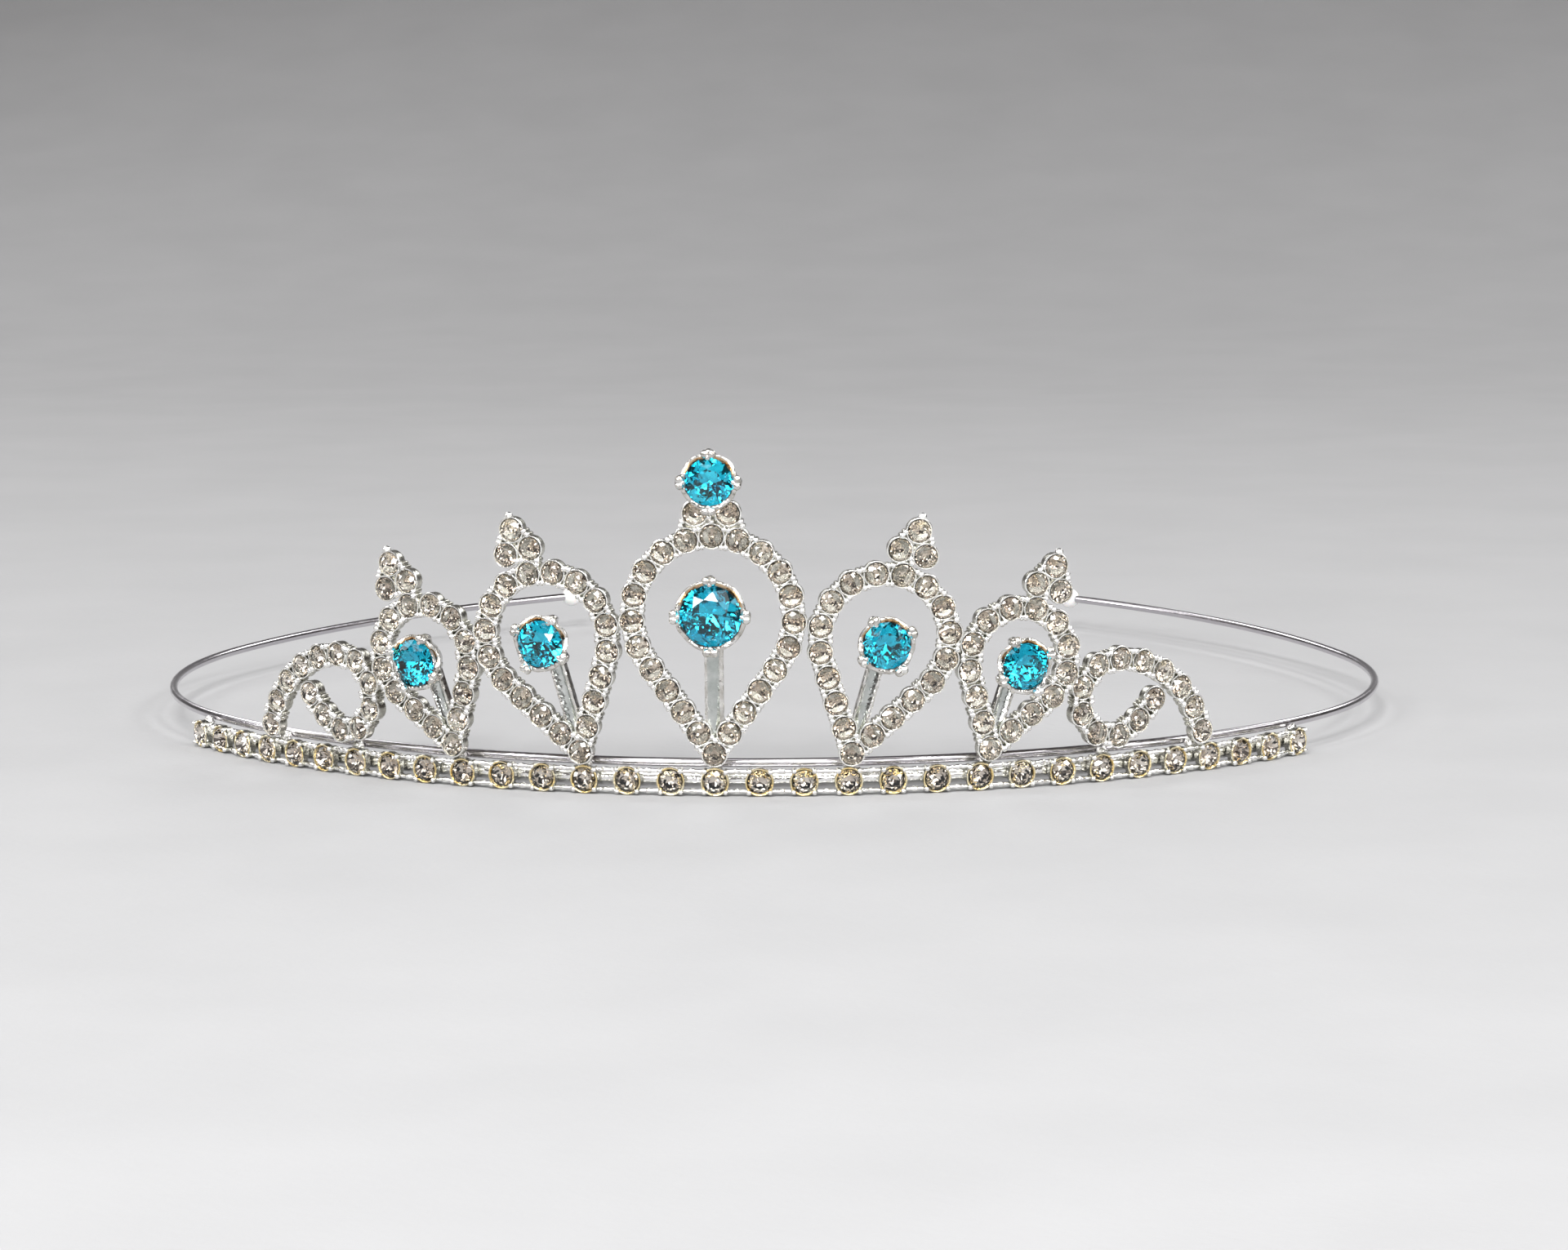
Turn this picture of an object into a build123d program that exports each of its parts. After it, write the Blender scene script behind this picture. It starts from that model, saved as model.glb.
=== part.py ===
"""Bridal tiara: a spring-wire headband that carries a row of claw-set clear stones, five loops
of clear stones with a blue stone on a stem in each, a blue stone at the top, and two scrolls.

Millimetres. +X to the wearer's left seen from the front, -Y to the front, +Z up. The tiara
stands on the bottoms of its base row of cups at z = 0.
"""
from math import acos, asin, atan2, cos, degrees, hypot, pi, radians, sin, sqrt
import os

from build123d import *

# ---------------------------------------------------------------- driving dimensions
# Headband wire, seen from above: three tangent arcs on each side of the front.
FRONT_Y = -59.0                 # wire centreline at the middle of the front
ARC_RADII = (73.0, 52.0, 105.0)
ARC_TURNS = (50.0, 60.0, 31.0)  # degrees that each arc turns through
WIRE_DIAMETER = 0.9
WIRE_HEIGHT = 3.1
FLEX_TURN = 22.0                # degrees into the second arc where each arm starts to flex
FLEX_GAP = 0.03
ARM_RISE = 0.65                 # degrees by which the free arms rise towards their tips
BALL_RADIUS = 1.25
BALL_BORE_DEPTH = 0.8

# Face of the tiara: stones sit on a curve outside the wire and lean outwards a little.
STONE_OFFSET = 2.3
LEAN = 2.0

# Clear stones and the cups, links and paired beads of the castings that hold them.
STONE_RADIUS = 1.12
STONE_TABLE = 0.56              # table radius over girdle radius
STONE_CROWN = 0.36              # crown height over girdle radius
STONE_PAVILION = 0.80           # pavilion depth over girdle radius
GIRDLE = 0.08
STONE_CLEARANCE = 0.03
CUP_RADIUS = 1.37
CUP_RIM = 0.12                  # rim above the girdle plane
CUP_DEPTH = 1.30                # back of the cup below the girdle plane
LINK_REACH = 2.95               # cups nearer than this are linked
LINK_LENGTH = 2.0
LINK_WIDTH = 1.5
LINK_DROP = 0.30                # top of a link below the girdle plane
PRONG_RADIUS = 0.42
PRONG_SIDE = 0.92               # prong distance from the line between two stones
PRONG_SPACING = 1.2
PRONG_CLEAR = 1.5               # least distance from a prong to the middle of any cup
BEAD_RADIUS = 0.27
BEAD_SPREAD = 0.24              # each bead of a pair from the middle of the pair
BEAD_RISE = 0.22

# Base row.
BASE_PITCH = 4.5
BASE_SIDE_COUNT = 15            # stones on each side of the middle one
BASE_STONE_RADIUS = 1.22
BASE_CUP_RADIUS = 1.475
BASE_CUP_DEPTH = 0.90
BASE_PAVILION = 0.52
BASE_CLAW_RADIUS = 0.30
BASE_CLAW_REACH = 1.50
BAR_RADIUS = 0.21               # round bars between the cups, each with a collar half way
BAR_SIDE = 1.02
BAR_LENGTH = 1.86
BAR_OUT = -0.30
COLLAR_RADIUS = 0.30
COLLAR_TOP = 0.14
COLLAR_FOOT = 0.34
RAIL_RADIUS = 0.83
RAIL_OUT = 0.56                 # rail centreline outside the wire centreline
RAIL_HEIGHT = 1.55
RAIL_OVERHANG = 0.9             # rail past the middle of the last stone

# Loops of clear stones: stone count, pitch, tip distance over circle radius, place of the
# tip along the band, tilt away from the middle.
TIP_HEIGHT = 2.85               # tip stones above the base row of stones
CENTRE_LOOP = (22, 2.66, 1.71, 0.0, 0.0)
MID_LOOP = (18, 2.705, 1.82, 13.8, 16.0)
OUTER_LOOP = (14, 2.785, 1.75, 28.0, 18.9)
CENTRE_PAIR = (1.68, 2.30)      # two stones on top of the centre loop, from its highest one
PEAK_PAIR = (1.355, 2.42)       # the same on the mid and outer loops
PEAK_TOP = 4.72
MID_PEAK_SHIFT = 0.35
OUTER_PEAK_SHIFT = 0.60
PEAK_BEAD_RADIUS = 0.45
PEAK_BEAD_RISE = 6.10
PEAK_BEAD_OUT = -0.35
TONGUE_WIDTH = 1.2              # tab behind the pair of stones that carries the top crown
TONGUE_BOTTOM = 26.6
TONGUE_TOP = 29.1
TONGUE_DEPTH = 0.5

# Scrolls.
SCROLL_COUNT = 13
SCROLL_PITCH = 2.81
SCROLL_FOOT = (52.6, 2.85)
SCROLL_CREST = (41.7, 11.2)
SCROLL_CURL_RADIUS = 4.02
SCROLL_CURL_TURN = 228.0
SCROLL_MIDDLE = 44.8
SCROLL_REST = 41.3              # where the curl rests on the rail

# Blue stones in four-claw crowns, on stems.
CENTRE_BLUE_RADIUS = 3.15
SMALL_BLUE_RADIUS = 2.42
BLUE_FORWARD = 2.0              # girdle of the blue stones in front of the clear stones' girdle
CENTRE_BLUE_SHIFT = 0.45        # blue stone above the middle of its loop's circle
SIDE_BLUE_SHIFT = -0.38
TOP_BLUE_HEIGHT = 30.7
BLUE_TABLE = 0.60
BLUE_CROWN = 0.34
BLUE_PAVILION = 0.82
CROWN_BACK = -1.25              # back of a crown from the clear stones' girdle plane
CROWN_BASE = 0.56               # radius of a crown at its back over its stone's radius
CROWN_WALL = 0.42
CROWN_RIM = 0.15                # rim above the blue stone's girdle plane
CROWN_BAND = 0.35               # height of the upright band round the rim
CROWN_SEAT = (0.30, 0.15, 0.55)  # width, top and foot of the slope under the stone
SCALLOP_RADIUS = 1.5
SCALLOP_DEPTH = 0.55
SCALLOP_REACH = 3.0
CLAW_COUNT = 4                  # claws round a blue stone, and round a cup of the base row
CLAW_TURN = 45.0                # degrees from upright: base row, and stones on slanting stems
CLAW_WIDTH = 0.80
CLAW_FOOT = (-0.15, 0.25, 0.10)  # inside and outside of the crown's base, rise from its back
CLAW_BELLY = 0.55               # outside of the rim, level with the girdle
CLAW_SHOULDER = (0.45, 0.25)    # outside of the rim, above the middle of the stone's slope
CLAW_HOOK = (0.25, 0.45, 0.12)  # end of the hook: outside of the slope's middle, top, bottom
CLAW_GAP = (0.05, 0.08, 0.20)   # beside the girdle, above it, and foot of the gap below it
CLAW_LOBE_RADIUS = 0.40
CLAW_LOBE_SPREAD = 0.30
CLAW_LOBE_OUT = 0.25
CLAW_LOBE_RISE = 0.20
CENTRE_STEM_WIDTH = 1.9
SIDE_STEM_WIDTH = 1.7
STEM_BACK = -1.22
STEM_DEPTH = 0.80
STEM_LIP = 0.30
STEM_GROOVE = 0.35
STEM_START = 1.3                # start of the stem above the loop's tip stone
STEM_UNDER_CROWN = 1.0          # end of the stem short of the crown's axis
HULL_MARGIN = 1.0

# Solder that ties the loops and scrolls to the wire and the rail.
SOLDER_RADIUS = 0.80
SOLDER_OUT = -1.50
SOLDER_HEIGHT = 1.30
END_SOLDER_HEIGHT = 0.95

STONE_LEVEL = BASE_CUP_RADIUS * cos(radians(LEAN)) + CUP_RIM * sin(radians(LEAN))


# ---------------------------------------------------------------- placing things on the face
def band_point(distance, offset):
    """Point and heading (degrees) at a distance along the right half of the band's plan."""
    x, y, heading = 0.0, FRONT_Y - offset, 0.0
    for arc_radius, turn in zip(ARC_RADII, ARC_TURNS):
        radius = arc_radius + offset
        step = min(turn, degrees(distance / radius))
        end = heading + step
        x += radius * (sin(radians(end)) - sin(radians(heading)))
        y -= radius * (cos(radians(end)) - cos(radians(heading)))
        distance -= radians(step) * radius
        heading = end
        if step < turn:
            break
    return x, y, heading


def spot(along, height=0.0):
    """Plane on the leaning face of the tiara: x along the band, y up the face, z outwards."""
    x, y, heading = band_point(abs(along), STONE_OFFSET)
    side = 1 if along >= 0 else -1
    away = Vector(side * sin(radians(heading)), -cos(radians(heading)), 0)
    outward = away * cos(radians(LEAN)) - Vector(0, 0, sin(radians(LEAN)))
    up = away * sin(radians(LEAN)) + Vector(0, 0, cos(radians(LEAN)))
    origin = Vector(side * x, y, STONE_LEVEL) + up * height
    return Plane(origin=origin, x_dir=up.cross(outward), z_dir=outward)


# A motif is a flat casting, tangent to the face at its own middle. Its places are pairs
# (x along the band from that middle, y above the base row of stones).
def loop_axes(loop):
    """Circle radius and tip distance, and a function from the loop's own axes to its plane."""
    count, pitch, shape, _, tilt = loop
    turns = 2 * sqrt(shape * shape - 1) + 2 * pi - 2 * acos(1 / shape)
    radius = count * pitch / turns
    across, along = cos(radians(tilt)), sin(radians(tilt))

    def place(side, up):
        middle = shape * radius * along
        return side * across + up * along - middle, TIP_HEIGHT - side * along + up * across

    return radius, shape * radius, place


def loop_middle(loop):
    """Place along the band of the middle of a loop's circle."""
    _, reach, _ = loop_axes(loop)
    return loop[3] + reach * sin(radians(loop[4]))


def loop_places(loop):
    """Stone places round a teardrop loop, from its tip up the outer side and back."""
    count, pitch = loop[0], loop[1]
    radius, reach, place = loop_axes(loop)
    straight = sqrt(reach * reach - radius * radius)
    spread = asin(radius / reach)
    places = []
    for index in range(count):
        distance = index * pitch
        back = count * pitch - distance
        if distance <= straight:
            places.append(place(distance * sin(spread), distance * cos(spread)))
        elif back <= straight:
            places.append(place(-back * sin(spread), back * cos(spread)))
        else:
            angle = acos(radius / reach) + (distance - straight) / radius
            places.append(place(radius * sin(angle), reach - radius * cos(angle)))
    return places


def on_top(loop, offsets):
    """Places given as (side, rise) from the highest point of a loop's circle."""
    radius, reach, place = loop_axes(loop)
    return [place(side, reach + radius + rise) for side, rise in offsets]


def peak_places(loop, shift):
    side, rise = PEAK_PAIR
    return on_top(loop, [(shift + side, rise), (shift - side, rise), (shift, PEAK_TOP)])


def scroll_places():
    """Stone places along a scroll: up from its foot, round the curl and back inside."""
    foot_x, foot_y = SCROLL_FOOT
    crest_x, crest_y = SCROLL_CREST
    run, rise = foot_x - crest_x, crest_y - foot_y
    rise_radius = (run * run + rise * rise) / (2 * rise)
    start = atan2(rise_radius - rise, run)
    rise_length = rise_radius * (pi / 2 - start)
    turn = radians(SCROLL_CURL_TURN)
    places = []
    for index in range(SCROLL_COUNT):
        distance = index * SCROLL_PITCH
        if distance <= rise_length:
            radius, angle, past = rise_radius, start + distance / rise_radius, 0.0
        else:
            curl = (distance - rise_length) / SCROLL_CURL_RADIUS
            radius, angle = SCROLL_CURL_RADIUS, pi / 2 + min(curl, turn)
            past = max(0.0, curl - turn) * SCROLL_CURL_RADIUS
        x = crest_x + radius * cos(angle) - past * sin(angle)
        y = crest_y - radius + radius * sin(angle) + past * cos(angle)
        places.append((x - SCROLL_MIDDLE, y))
    return places


# ---------------------------------------------------------------- stones and castings
def brilliant(radius, table, crown, pavilion):
    """A round stone, girdle plane at z = 0, table towards +Z."""
    top = GIRDLE / 2 + crown * radius
    with BuildPart() as stone:
        with BuildSketch(Plane.XZ):
            with BuildLine():
                Polyline((0, -GIRDLE / 2 - pavilion * radius), (radius, -GIRDLE / 2),
                         (radius, GIRDLE / 2), (table * radius, top), (0, top), close=True)
            make_face()
        revolve(axis=Axis.Z)
    return stone.part


def seat(stone_radius, pavilion):
    """The hollow that a stone sits in, a little larger than the stone all round."""
    bore = stone_radius + STONE_CLEARANCE
    ledge = -GIRDLE / 2 - STONE_CLEARANCE
    with BuildPart() as hollow:
        with BuildSketch(Plane.XZ):
            with BuildLine():
                Polyline((0, ledge - pavilion * bore), (bore, ledge), (bore, bore), (0, bore),
                         close=True)
            make_face()
        revolve(axis=Axis.Z)
    return hollow.part


clear_stone = brilliant(STONE_RADIUS, STONE_TABLE, STONE_CROWN, STONE_PAVILION)
clear_seat = seat(STONE_RADIUS, STONE_PAVILION)


def linked(places):
    """Each pair of neighbouring places, as their middle and direction in degrees."""
    links = []
    for index, (x0, y0) in enumerate(places):
        for x1, y1 in places[index + 1:]:
            span = hypot(x1 - x0, y1 - y0)
            if span < LINK_REACH:
                heading = degrees(atan2(y1 - y0, x1 - x0))
                links.append(((x0 + x1) / 2, (y0 + y1) / 2, heading))
    return links


def notches(places, keep_off):
    """Where prongs stand: beside each link, clear of all cups and of each other."""
    prongs = []
    for x, y, heading in linked(places):
        for side in (-PRONG_SIDE, PRONG_SIDE):
            u = x - side * sin(radians(heading))
            v = y + side * cos(radians(heading))
            clear_of_cups = all(hypot(u - a, v - b) > PRONG_CLEAR for a, b in places + keep_off)
            spaced = all(hypot(u - a, v - b) > PRONG_SPACING for a, b, _ in prongs)
            if clear_of_cups and spaced:
                prongs.append((u, v, heading))
    return prongs


def casting(plane, places, keep_off):
    """Flat casting of linked cups, with a pair of beads on each prong."""
    prongs = notches(places, keep_off)
    bars = [Location((x, y, 0), (0, 0, heading)) for x, y, heading in linked(places)]
    beads = [(x + step * cos(radians(heading)), y + step * sin(radians(heading)))
             for x, y, heading in prongs for step in (-BEAD_SPREAD, BEAD_SPREAD)]
    with BuildPart() as frame:
        with BuildSketch(plane.offset(-CUP_DEPTH)):
            with Locations(*places):
                Circle(CUP_RADIUS)
            with Locations(*[(x, y) for x, y, _ in prongs]):
                Circle(PRONG_RADIUS)
        extrude(amount=CUP_DEPTH + CUP_RIM)
        with BuildSketch(plane.offset(-CUP_DEPTH)):
            with Locations(*bars):
                Rectangle(LINK_LENGTH, LINK_WIDTH)
        extrude(amount=CUP_DEPTH - LINK_DROP)
        with Locations(*[plane * Location((x, y, 0)) for x, y in places]):
            add(clear_seat, mode=Mode.SUBTRACT)
        with Locations(*[plane * Location((x, y, BEAD_RISE)) for x, y in beads]):
            Sphere(BEAD_RADIUS)
    return frame.part


def stones(plane, places):
    """The clear stones of one casting, a group of separate solids."""
    with BuildPart() as group:
        with Locations(*[plane * Location((x, y, 0)) for x, y in places]):
            add(clear_stone)
    return group.part


# ---------------------------------------------------------------- crowns, blue stones, stems
def crown_slant(radius):
    """Outer radius at the back and at the rim of a crown."""
    return CROWN_BASE * radius, radius + CROWN_WALL


def crown_setting(radius):
    """Tapered basket with four scallops and four two-lobed claws, blue girdle at z = 0."""
    back = CROWN_BACK - BLUE_FORWARD
    base, rim = crown_slant(radius)
    bore = radius + STONE_CLEARANCE
    slope = radius * (1 + BLUE_TABLE) / 2
    slope_top = (GIRDLE + BLUE_CROWN * radius) / 2
    seat_width, seat_top, seat_foot = CROWN_SEAT
    foot_in, foot_out, foot_rise = CLAW_FOOT
    shoulder_out, shoulder_rise = CLAW_SHOULDER
    hook_out, hook_top, hook_bottom = CLAW_HOOK
    gap_side, gap_top, gap_foot = CLAW_GAP
    with BuildPart() as setting:
        with BuildSketch(Plane.XZ):
            with BuildLine():
                Polyline((base - CROWN_WALL, back), (base, back), (rim, CROWN_RIM - CROWN_BAND),
                         (rim, CROWN_RIM), (bore, CROWN_RIM), (bore, -seat_top),
                         (bore - seat_width, -seat_foot), close=True)
            make_face()
        revolve(axis=Axis.Z)
        with PolarLocations(rim, CLAW_COUNT, start_angle=180 / CLAW_COUNT):
            with Locations((0, 0, CROWN_RIM - SCALLOP_DEPTH + SCALLOP_RADIUS)):
                Cylinder(SCALLOP_RADIUS, SCALLOP_REACH, rotation=(0, 90, 0), mode=Mode.SUBTRACT)
        for index in range(CLAW_COUNT):
            with BuildSketch(Plane.XZ.rotated((0, 0, 360 / CLAW_COUNT * index))):
                with BuildLine():
                    Polyline((base + foot_in, back + foot_rise),
                             (base + foot_out, back + foot_rise), (rim + CLAW_BELLY, 0),
                             (rim + shoulder_out, slope_top + shoulder_rise),
                             (slope + hook_out, slope_top + hook_top),
                             (slope + hook_out, slope_top + hook_bottom),
                             (radius + gap_side, GIRDLE / 2 + gap_top),
                             (radius + gap_side, -gap_foot), close=True)
                make_face()
            extrude(amount=CLAW_WIDTH / 2, both=True)
        with PolarLocations(radius + CLAW_LOBE_OUT, CLAW_COUNT):
            with Locations((0, -CLAW_LOBE_SPREAD, slope_top + CLAW_LOBE_RISE),
                           (0, CLAW_LOBE_SPREAD, slope_top + CLAW_LOBE_RISE)):
                Sphere(CLAW_LOBE_RADIUS)
    return setting.part


def crown_hull(radius):
    """The solid cone that a crown fills, blue girdle at z = 0."""
    base, rim = crown_slant(radius)
    back = CROWN_BACK - BLUE_FORWARD
    with BuildPart() as hull:
        with BuildSketch(Plane.XZ):
            with BuildLine():
                Polyline((0, back - HULL_MARGIN), (base, back - HULL_MARGIN), (base, back),
                         (rim, CROWN_RIM - CROWN_BAND), (rim, HULL_MARGIN), (0, HULL_MARGIN),
                         close=True)
            make_face()
        revolve(axis=Axis.Z)
    return hull.part


def blue_spot(plane, loop, shift, turn):
    """Where a blue stone and its crown sit inside a loop."""
    _, reach, place = loop_axes(loop)
    x, y = place(0, reach + shift)
    return plane * Location((x, y, BLUE_FORWARD), (0, 0, turn - loop[4]))


def stem(plane, loop, blue, width, hull, frame):
    """Channel-section bar up the axis of a loop, from its tip to its crown."""
    _, _, place = loop_axes(loop)
    x, y = place(0, STEM_START)
    foot = Plane(plane * Location((x, y, STEM_BACK), (0, 0, -loop[4])))
    length = (blue.position - foot.origin).dot(foot.y_dir) - STEM_UNDER_CROWN
    with BuildPart() as bar:
        with BuildSketch(Plane(origin=foot.origin, x_dir=foot.x_dir, z_dir=foot.y_dir)):
            with Locations((0, -STEM_DEPTH / 2)):
                Rectangle(width, STEM_DEPTH)
            with Locations((0, -STEM_DEPTH)):
                Rectangle(width - 2 * STEM_LIP, 2 * STEM_GROOVE, mode=Mode.SUBTRACT)
        extrude(amount=length)
        add(frame, mode=Mode.SUBTRACT)
        with Locations(blue):
            add(hull, mode=Mode.SUBTRACT)
    return Part(bar.part.solids().sort_by(SortBy.VOLUME)[-1].wrapped)


def publish(name, part):
    """Label a finished piece and write it."""
    part.label = name
    export_step(part, f"parts/{name}.step")


os.makedirs("parts", exist_ok=True)

# ---------------------------------------------------------------- headband
flex_distance = radians(ARC_TURNS[0]) * ARC_RADII[0] + radians(FLEX_TURN) * ARC_RADII[1]
_, flex_y, _ = band_point(flex_distance, 0.0)

with BuildPart() as headband_front:
    with BuildLine():
        front_arc = JernArc((0, FRONT_Y, WIRE_HEIGHT), (1, 0, 0), ARC_RADII[0], ARC_TURNS[0])
        JernArc(front_arc @ 1, front_arc % 1, ARC_RADII[1], FLEX_TURN)
    with BuildSketch(Plane(origin=(0, FRONT_Y, WIRE_HEIGHT), z_dir=(1, 0, 0))):
        Circle(WIRE_DIAMETER / 2)
    sweep()
    mirror(about=Plane.YZ)

# The free arm lies in a plane that rises towards the tip, turned about the flex point.
arm_plane = Plane(origin=(0, flex_y, WIRE_HEIGHT), x_dir=(1, 0, 0),
                  z_dir=(0, -sin(radians(ARM_RISE)), cos(radians(ARM_RISE))))
side_length = radians(ARC_TURNS[1] - FLEX_TURN) * ARC_RADII[1]


def arm_stop(distance):
    """Point and direction in the arm's plane at a distance behind the flex point."""
    x, y, heading = band_point(flex_distance + distance, 0.0)
    return (x, y - flex_y), (cos(radians(heading)), sin(radians(heading)))


with BuildPart() as headband_arm_right:
    with BuildLine(arm_plane) as arm_path:
        start_turn = ARC_TURNS[1] - FLEX_TURN - degrees(FLEX_GAP / ARC_RADII[1])
        JernArc(*arm_stop(FLEX_GAP), ARC_RADII[1], start_turn)
        JernArc(*arm_stop(side_length), ARC_RADII[2], ARC_TURNS[2])
    with BuildSketch(Plane(origin=arm_path.wire() @ 0, z_dir=arm_path.wire() % 0)):
        Circle(WIRE_DIAMETER / 2)
    sweep()

tip_point = arm_path.wire() @ 1
tip_direction = arm_path.wire() % 1
with BuildPart() as ball_tip_right:
    with Locations(tip_point + tip_direction * (BALL_RADIUS - BALL_BORE_DEPTH)):
        Sphere(BALL_RADIUS)
    add(headband_arm_right.part, mode=Mode.SUBTRACT)

# ---------------------------------------------------------------- base row
row_spots = [spot(index * BASE_PITCH) for index in range(-BASE_SIDE_COUNT, BASE_SIDE_COUNT + 1)]
row_half = BASE_SIDE_COUNT * BASE_PITCH

with BuildPart() as base_rail:
    rail_radius = ARC_RADII[0] + RAIL_OUT
    rail_turn = degrees((row_half + RAIL_OVERHANG) / (ARC_RADII[0] + STONE_OFFSET))
    with BuildLine():
        rail_arc = JernArc((0, FRONT_Y - RAIL_OUT, RAIL_HEIGHT), (1, 0, 0), rail_radius, rail_turn)
    with BuildSketch(Plane(origin=rail_arc @ 0, z_dir=(1, 0, 0))):
        Circle(RAIL_RADIUS)
    sweep()
    with Locations(rail_arc @ 1):
        Sphere(RAIL_RADIUS)
    mirror(about=Plane.YZ)

with BuildPart() as base_setting:
    with BuildSketch(Plane.XY.offset(-BASE_CUP_DEPTH)):
        Circle(BASE_CUP_RADIUS)
        with PolarLocations(BASE_CLAW_REACH, CLAW_COUNT, start_angle=CLAW_TURN):
            Circle(BASE_CLAW_RADIUS)
    extrude(amount=BASE_CUP_DEPTH + CUP_RIM)
    add(seat(BASE_STONE_RADIUS, BASE_PAVILION), mode=Mode.SUBTRACT)
    with PolarLocations(BASE_CLAW_REACH, CLAW_COUNT, start_angle=CLAW_TURN):
        with Locations((0, 0, BEAD_RISE)):
            Sphere(BEAD_RADIUS)

with BuildPart() as base_row_cups:
    with Locations(*row_spots):
        add(base_setting.part)

with BuildPart() as base_row_stones:
    with Locations(*row_spots):
        add(brilliant(BASE_STONE_RADIUS, STONE_TABLE, STONE_CROWN, BASE_PAVILION))

with BuildPart() as row_bar:
    with BuildSketch(Plane.XY):
        with BuildLine():
            Polyline((-BAR_LENGTH / 2, 0), (-BAR_LENGTH / 2, BAR_RADIUS),
                     (-COLLAR_FOOT, BAR_RADIUS), (-COLLAR_TOP, COLLAR_RADIUS),
                     (COLLAR_TOP, COLLAR_RADIUS), (COLLAR_FOOT, BAR_RADIUS),
                     (BAR_LENGTH / 2, BAR_RADIUS), (BAR_LENGTH / 2, 0), close=True)
        make_face()
    revolve(axis=Axis.X)

with BuildPart() as base_row_links:
    with Locations(*[spot((index + 0.5) * BASE_PITCH) * Location((0, side, BAR_OUT))
                     for index in range(-BASE_SIDE_COUNT, BASE_SIDE_COUNT)
                     for side in (-BAR_SIDE, BAR_SIDE)]):
        add(row_bar.part)

# ---------------------------------------------------------------- centre loop and top crown
centre_plane = spot(0)
centre_places = loop_places(CENTRE_LOOP) + on_top(CENTRE_LOOP, [
    (CENTRE_PAIR[0], CENTRE_PAIR[1]), (-CENTRE_PAIR[0], CENTRE_PAIR[1])])
centre_blue_spot = blue_spot(centre_plane, CENTRE_LOOP, CENTRE_BLUE_SHIFT, 0)
top_blue_spot = centre_plane * Location((0, TOP_BLUE_HEIGHT, BLUE_FORWARD))


def neighbours(places, own_middle, other_middle, side=1):
    """Another motif's places, seen in this motif's coordinates along the band."""
    return [(side * (x + other_middle) - own_middle, y) for x, y in places]


mid_places = loop_places(MID_LOOP) + peak_places(MID_LOOP, MID_PEAK_SHIFT)
outer_places = loop_places(OUTER_LOOP) + peak_places(OUTER_LOOP, OUTER_PEAK_SHIFT)
mid_middle = loop_middle(MID_LOOP)
outer_middle = loop_middle(OUTER_LOOP)

with BuildPart() as centre_loop_frame:
    add(casting(centre_plane, centre_places,
                neighbours(mid_places, 0, mid_middle) + neighbours(mid_places, 0, mid_middle, -1)))
    with BuildSketch(centre_plane.offset(-CUP_DEPTH)):
        with Locations((0, (TONGUE_BOTTOM + TONGUE_TOP) / 2)):
            Rectangle(TONGUE_WIDTH, TONGUE_TOP - TONGUE_BOTTOM)
    extrude(amount=TONGUE_DEPTH)

centre_loop_stones = stones(centre_plane, centre_places)

centre_setting = crown_setting(CENTRE_BLUE_RADIUS)
small_setting = crown_setting(SMALL_BLUE_RADIUS)
centre_hull = crown_hull(CENTRE_BLUE_RADIUS)
small_hull = crown_hull(SMALL_BLUE_RADIUS)
centre_blue = brilliant(CENTRE_BLUE_RADIUS, BLUE_TABLE, BLUE_CROWN, BLUE_PAVILION)
small_blue = brilliant(SMALL_BLUE_RADIUS, BLUE_TABLE, BLUE_CROWN, BLUE_PAVILION)

with BuildPart() as centre_crown:
    with Locations(centre_blue_spot):
        add(centre_setting)

with BuildPart() as centre_blue_stone:
    with Locations(centre_blue_spot):
        add(centre_blue)

with BuildPart() as top_crown:
    with Locations(top_blue_spot):
        add(small_setting)

with BuildPart() as top_blue_stone:
    with Locations(top_blue_spot):
        add(small_blue)

centre_stem = stem(centre_plane, CENTRE_LOOP, centre_blue_spot, CENTRE_STEM_WIDTH, centre_hull,
                   centre_loop_frame.part)


# ---------------------------------------------------------------- side motifs, right-hand side
def side_loop(loop, places, keep_off, peak_shift):
    """Frame, stones, stem, crown and blue stone of one loop on the right-hand side."""
    plane = spot(loop_middle(loop))
    blue = blue_spot(plane, loop, SIDE_BLUE_SHIFT, CLAW_TURN)
    bead_x, bead_y = on_top(loop, [(peak_shift, PEAK_BEAD_RISE)])[0]
    with BuildPart() as frame:
        add(casting(plane, places, keep_off))
        with Locations(plane * Location((bead_x, bead_y, PEAK_BEAD_OUT))):
            Sphere(PEAK_BEAD_RADIUS)
    with BuildPart() as crown:
        with Locations(blue):
            add(small_setting)
    with BuildPart() as blue_stone:
        with Locations(blue):
            add(small_blue)
    return {"loop_frame": frame.part, "loop_stones": stones(plane, places),
            "stem": stem(plane, loop, blue, SIDE_STEM_WIDTH, small_hull, frame.part),
            "crown": crown.part, "blue_stone": blue_stone.part}


scroll_line = scroll_places()
mid_loop = side_loop(MID_LOOP, mid_places,
                     neighbours(centre_places, mid_middle, 0)
                     + neighbours(outer_places, mid_middle, outer_middle), MID_PEAK_SHIFT)
outer_loop = side_loop(OUTER_LOOP, outer_places,
                       neighbours(mid_places, outer_middle, mid_middle)
                       + neighbours(scroll_line, outer_middle, SCROLL_MIDDLE), OUTER_PEAK_SHIFT)

scroll_plane = spot(SCROLL_MIDDLE)
scroll_frame = casting(scroll_plane, scroll_line,
                       neighbours(outer_places, SCROLL_MIDDLE, outer_middle))
scroll_stones = stones(scroll_plane, scroll_line)

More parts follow.
